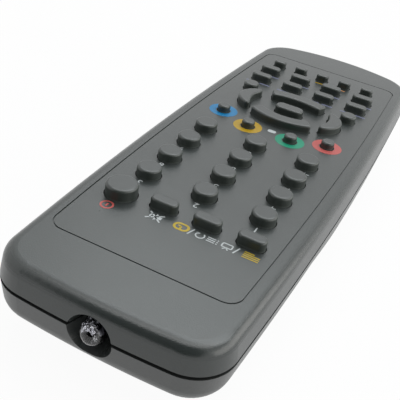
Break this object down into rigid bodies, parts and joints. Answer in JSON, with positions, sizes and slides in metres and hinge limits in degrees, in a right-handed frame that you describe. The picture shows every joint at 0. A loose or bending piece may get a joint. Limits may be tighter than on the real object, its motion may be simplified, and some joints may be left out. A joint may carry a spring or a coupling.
{
  "type": "tv remote control",
  "caption": "Hand-held infrared remote control: slim crowned two-part grey housing, rubber number, colour and direction keys, clear emitter in the front edge, sliding battery cover.",
  "frame": {"origin": "centre of the bounding box at its bottom, on the plane that the remote rests on", "axes": "+Y along the remote towards the emitter end, +X to the user's right, +Z out of the keypad"},
  "size_m": [0.0546, 0.1616, 0.0228],
  "materials": {
    "housing": "fine moulded texture, satin",
    "key_rubber": "smooth satin rubber",
    "mat_rubber": "matt",
    "board": "paper laminate",
    "clear_resin": "clear moulded resin",
    "tinned_wire": "tinned",
    "black_resin": "moulded",
    "resonator_resin": "dipped",
    "capacitor_sleeve": "shrink sleeve",
    "cell_jacket": "printed jacket",
    "spring_steel": "nickel plated",
    "screw_steel": "zinc plated"
  },
  "bodies": {
    "root": {"battery_left": "cell_jacket", "battery_right": "cell_jacket", "bottom_shell": "housing", "bridge_contact": "spring_steel", "capacitor": "capacitor_sleeve", "case_screws": "screw_steel", "circuit_board": "board", "contact_springs": "spring_steel", "controller_chip": "black_resin", "drive_transistor": "black_resin", "emitter_leads": "tinned_wire", "emitter_led": "clear_resin", "keypad_mat": "mat_rubber", "negative_contact": "spring_steel", "positive_contact": "spring_steel", "resistors": "black_resin", "resonator": "resonator_resin", "top_shell": "housing"},
    "battery_cover": {"battery_cover": "housing"},
    "blue_key": {"blue_key": "key_rubber"},
    "corner_key_left": {"corner_key_left": "key_rubber"},
    "corner_key_right": {"corner_key_right": "key_rubber"},
    "down_key": {"down_key": "key_rubber"},
    "green_key": {"green_key": "key_rubber"},
    "left_key": {"left_key": "key_rubber"},
    "lower_key_1_1": {"lower_key_1_1": "key_rubber"},
    "lower_key_1_2": {"lower_key_1_2": "key_rubber"},
    "lower_key_1_3": {"lower_key_1_3": "key_rubber"},
    "lower_key_1_4": {"lower_key_1_4": "key_rubber"},
    "lower_key_2_1": {"lower_key_2_1": "key_rubber"},
    "lower_key_2_2": {"lower_key_2_2": "key_rubber"},
    "lower_key_2_3": {"lower_key_2_3": "key_rubber"},
    "lower_key_2_4": {"lower_key_2_4": "key_rubber"},
    "mute_key": {"mute_key": "key_rubber"},
    "number_key_0": {"number_key_0": "key_rubber"},
    "number_key_1": {"number_key_1": "key_rubber"},
    "number_key_2": {"number_key_2": "key_rubber"},
    "number_key_3": {"number_key_3": "key_rubber"},
    "number_key_4": {"number_key_4": "key_rubber"},
    "number_key_5": {"number_key_5": "key_rubber"},
    "number_key_6": {"number_key_6": "key_rubber"},
    "number_key_7": {"number_key_7": "key_rubber"},
    "number_key_8": {"number_key_8": "key_rubber"},
    "number_key_9": {"number_key_9": "key_rubber"},
    "number_key_blank": {"number_key_blank": "key_rubber"},
    "number_key_dash": {"number_key_dash": "key_rubber"},
    "ok_key": {"ok_key": "key_rubber"},
    "power_key": {"power_key": "key_rubber"},
    "recall_key": {"recall_key": "key_rubber"},
    "red_key": {"red_key": "key_rubber"},
    "right_key": {"right_key": "key_rubber"},
    "small_key_1": {"small_key_1": "key_rubber"},
    "small_key_2": {"small_key_2": "key_rubber"},
    "small_key_3": {"small_key_3": "key_rubber"},
    "small_key_4": {"small_key_4": "key_rubber"},
    "small_key_5": {"small_key_5": "key_rubber"},
    "text_key": {"text_key": "key_rubber"},
    "up_key": {"up_key": "key_rubber"},
    "yellow_key": {"yellow_key": "key_rubber"}
  },
  "joints": [
    {"name": "battery_cover_slide", "type": "slide", "parent": "root", "child": "battery_cover", "axis": [0, -1, 0], "range_m": [0, 0.058]},
    {"name": "blue_key_press", "type": "slide", "parent": "root", "child": "blue_key", "axis": [0, 0, -1], "range_m": [0, 0.001], "stiffness_N_per_m": 500},
    {"name": "corner_key_left_press", "type": "slide", "parent": "root", "child": "corner_key_left", "axis": [0, 0, -1], "range_m": [0, 0.001], "stiffness_N_per_m": 500},
    {"name": "corner_key_right_press", "type": "slide", "parent": "root", "child": "corner_key_right", "axis": [0, 0, -1], "range_m": [0, 0.001], "stiffness_N_per_m": 500},
    {"name": "down_key_press", "type": "slide", "parent": "root", "child": "down_key", "axis": [0, 0, -1], "range_m": [0, 0.001], "stiffness_N_per_m": 500},
    {"name": "green_key_press", "type": "slide", "parent": "root", "child": "green_key", "axis": [0, 0, -1], "range_m": [0, 0.001], "stiffness_N_per_m": 500},
    {"name": "left_key_press", "type": "slide", "parent": "root", "child": "left_key", "axis": [0, 0, -1], "range_m": [0, 0.001], "stiffness_N_per_m": 500},
    {"name": "lower_key_1_1_press", "type": "slide", "parent": "root", "child": "lower_key_1_1", "axis": [0, 0, -1], "range_m": [0, 0.001], "stiffness_N_per_m": 500},
    {"name": "lower_key_1_2_press", "type": "slide", "parent": "root", "child": "lower_key_1_2", "axis": [0, 0, -1], "range_m": [0, 0.001], "stiffness_N_per_m": 500},
    {"name": "lower_key_1_3_press", "type": "slide", "parent": "root", "child": "lower_key_1_3", "axis": [0, 0, -1], "range_m": [0, 0.001], "stiffness_N_per_m": 500},
    {"name": "lower_key_1_4_press", "type": "slide", "parent": "root", "child": "lower_key_1_4", "axis": [0, 0, -1], "range_m": [0, 0.001], "stiffness_N_per_m": 500},
    {"name": "lower_key_2_1_press", "type": "slide", "parent": "root", "child": "lower_key_2_1", "axis": [0, 0, -1], "range_m": [0, 0.001], "stiffness_N_per_m": 500},
    {"name": "lower_key_2_2_press", "type": "slide", "parent": "root", "child": "lower_key_2_2", "axis": [0, 0, -1], "range_m": [0, 0.001], "stiffness_N_per_m": 500},
    {"name": "lower_key_2_3_press", "type": "slide", "parent": "root", "child": "lower_key_2_3", "axis": [0, 0, -1], "range_m": [0, 0.001], "stiffness_N_per_m": 500},
    {"name": "lower_key_2_4_press", "type": "slide", "parent": "root", "child": "lower_key_2_4", "axis": [0, 0, -1], "range_m": [0, 0.001], "stiffness_N_per_m": 500},
    {"name": "mute_key_press", "type": "slide", "parent": "root", "child": "mute_key", "axis": [0, 0, -1], "range_m": [0, 0.001], "stiffness_N_per_m": 500},
    {"name": "number_key_0_press", "type": "slide", "parent": "root", "child": "number_key_0", "axis": [0, 0, -1], "range_m": [0, 0.001], "stiffness_N_per_m": 500},
    {"name": "number_key_1_press", "type": "slide", "parent": "root", "child": "number_key_1", "axis": [0, 0, -1], "range_m": [0, 0.001], "stiffness_N_per_m": 500},
    {"name": "number_key_2_press", "type": "slide", "parent": "root", "child": "number_key_2", "axis": [0, 0, -1], "range_m": [0, 0.001], "stiffness_N_per_m": 500},
    {"name": "number_key_3_press", "type": "slide", "parent": "root", "child": "number_key_3", "axis": [0, 0, -1], "range_m": [0, 0.001], "stiffness_N_per_m": 500},
    {"name": "number_key_4_press", "type": "slide", "parent": "root", "child": "number_key_4", "axis": [0, 0, -1], "range_m": [0, 0.001], "stiffness_N_per_m": 500},
    {"name": "number_key_5_press", "type": "slide", "parent": "root", "child": "number_key_5", "axis": [0, 0, -1], "range_m": [0, 0.001], "stiffness_N_per_m": 500},
    {"name": "number_key_6_press", "type": "slide", "parent": "root", "child": "number_key_6", "axis": [0, 0, -1], "range_m": [0, 0.001], "stiffness_N_per_m": 500},
    {"name": "number_key_7_press", "type": "slide", "parent": "root", "child": "number_key_7", "axis": [0, 0, -1], "range_m": [0, 0.001], "stiffness_N_per_m": 500},
    {"name": "number_key_8_press", "type": "slide", "parent": "root", "child": "number_key_8", "axis": [0, 0, -1], "range_m": [0, 0.001], "stiffness_N_per_m": 500},
    {"name": "number_key_9_press", "type": "slide", "parent": "root", "child": "number_key_9", "axis": [0, 0, -1], "range_m": [0, 0.001], "stiffness_N_per_m": 500},
    {"name": "number_key_blank_press", "type": "slide", "parent": "root", "child": "number_key_blank", "axis": [0, 0, -1], "range_m": [0, 0.001], "stiffness_N_per_m": 500},
    {"name": "number_key_dash_press", "type": "slide", "parent": "root", "child": "number_key_dash", "axis": [0, 0, -1], "range_m": [0, 0.001], "stiffness_N_per_m": 500},
    {"name": "ok_key_press", "type": "slide", "parent": "root", "child": "ok_key", "axis": [0, 0, -1], "range_m": [0, 0.001], "stiffness_N_per_m": 500},
    {"name": "power_key_press", "type": "slide", "parent": "root", "child": "power_key", "axis": [0, 0, -1], "range_m": [0, 0.001], "stiffness_N_per_m": 500},
    {"name": "recall_key_press", "type": "slide", "parent": "root", "child": "recall_key", "axis": [0, 0, -1], "range_m": [0, 0.001], "stiffness_N_per_m": 500},
    {"name": "red_key_press", "type": "slide", "parent": "root", "child": "red_key", "axis": [0, 0, -1], "range_m": [0, 0.001], "stiffness_N_per_m": 500},
    {"name": "right_key_press", "type": "slide", "parent": "root", "child": "right_key", "axis": [0, 0, -1], "range_m": [0, 0.001], "stiffness_N_per_m": 500},
    {"name": "small_key_1_press", "type": "slide", "parent": "root", "child": "small_key_1", "axis": [0, 0, -1], "range_m": [0, 0.001], "stiffness_N_per_m": 500},
    {"name": "small_key_2_press", "type": "slide", "parent": "root", "child": "small_key_2", "axis": [0, 0, -1], "range_m": [0, 0.001], "stiffness_N_per_m": 500},
    {"name": "small_key_3_press", "type": "slide", "parent": "root", "child": "small_key_3", "axis": [0, 0, -1], "range_m": [0, 0.001], "stiffness_N_per_m": 500},
    {"name": "small_key_4_press", "type": "slide", "parent": "root", "child": "small_key_4", "axis": [0, 0, -1], "range_m": [0, 0.001], "stiffness_N_per_m": 500},
    {"name": "small_key_5_press", "type": "slide", "parent": "root", "child": "small_key_5", "axis": [0, 0, -1], "range_m": [0, 0.001], "stiffness_N_per_m": 500},
    {"name": "text_key_press", "type": "slide", "parent": "root", "child": "text_key", "axis": [0, 0, -1], "range_m": [0, 0.001], "stiffness_N_per_m": 500},
    {"name": "up_key_press", "type": "slide", "parent": "root", "child": "up_key", "axis": [0, 0, -1], "range_m": [0, 0.001], "stiffness_N_per_m": 500},
    {"name": "yellow_key_press", "type": "slide", "parent": "root", "child": "yellow_key", "axis": [0, 0, -1], "range_m": [0, 0.001], "stiffness_N_per_m": 500}
  ]
}
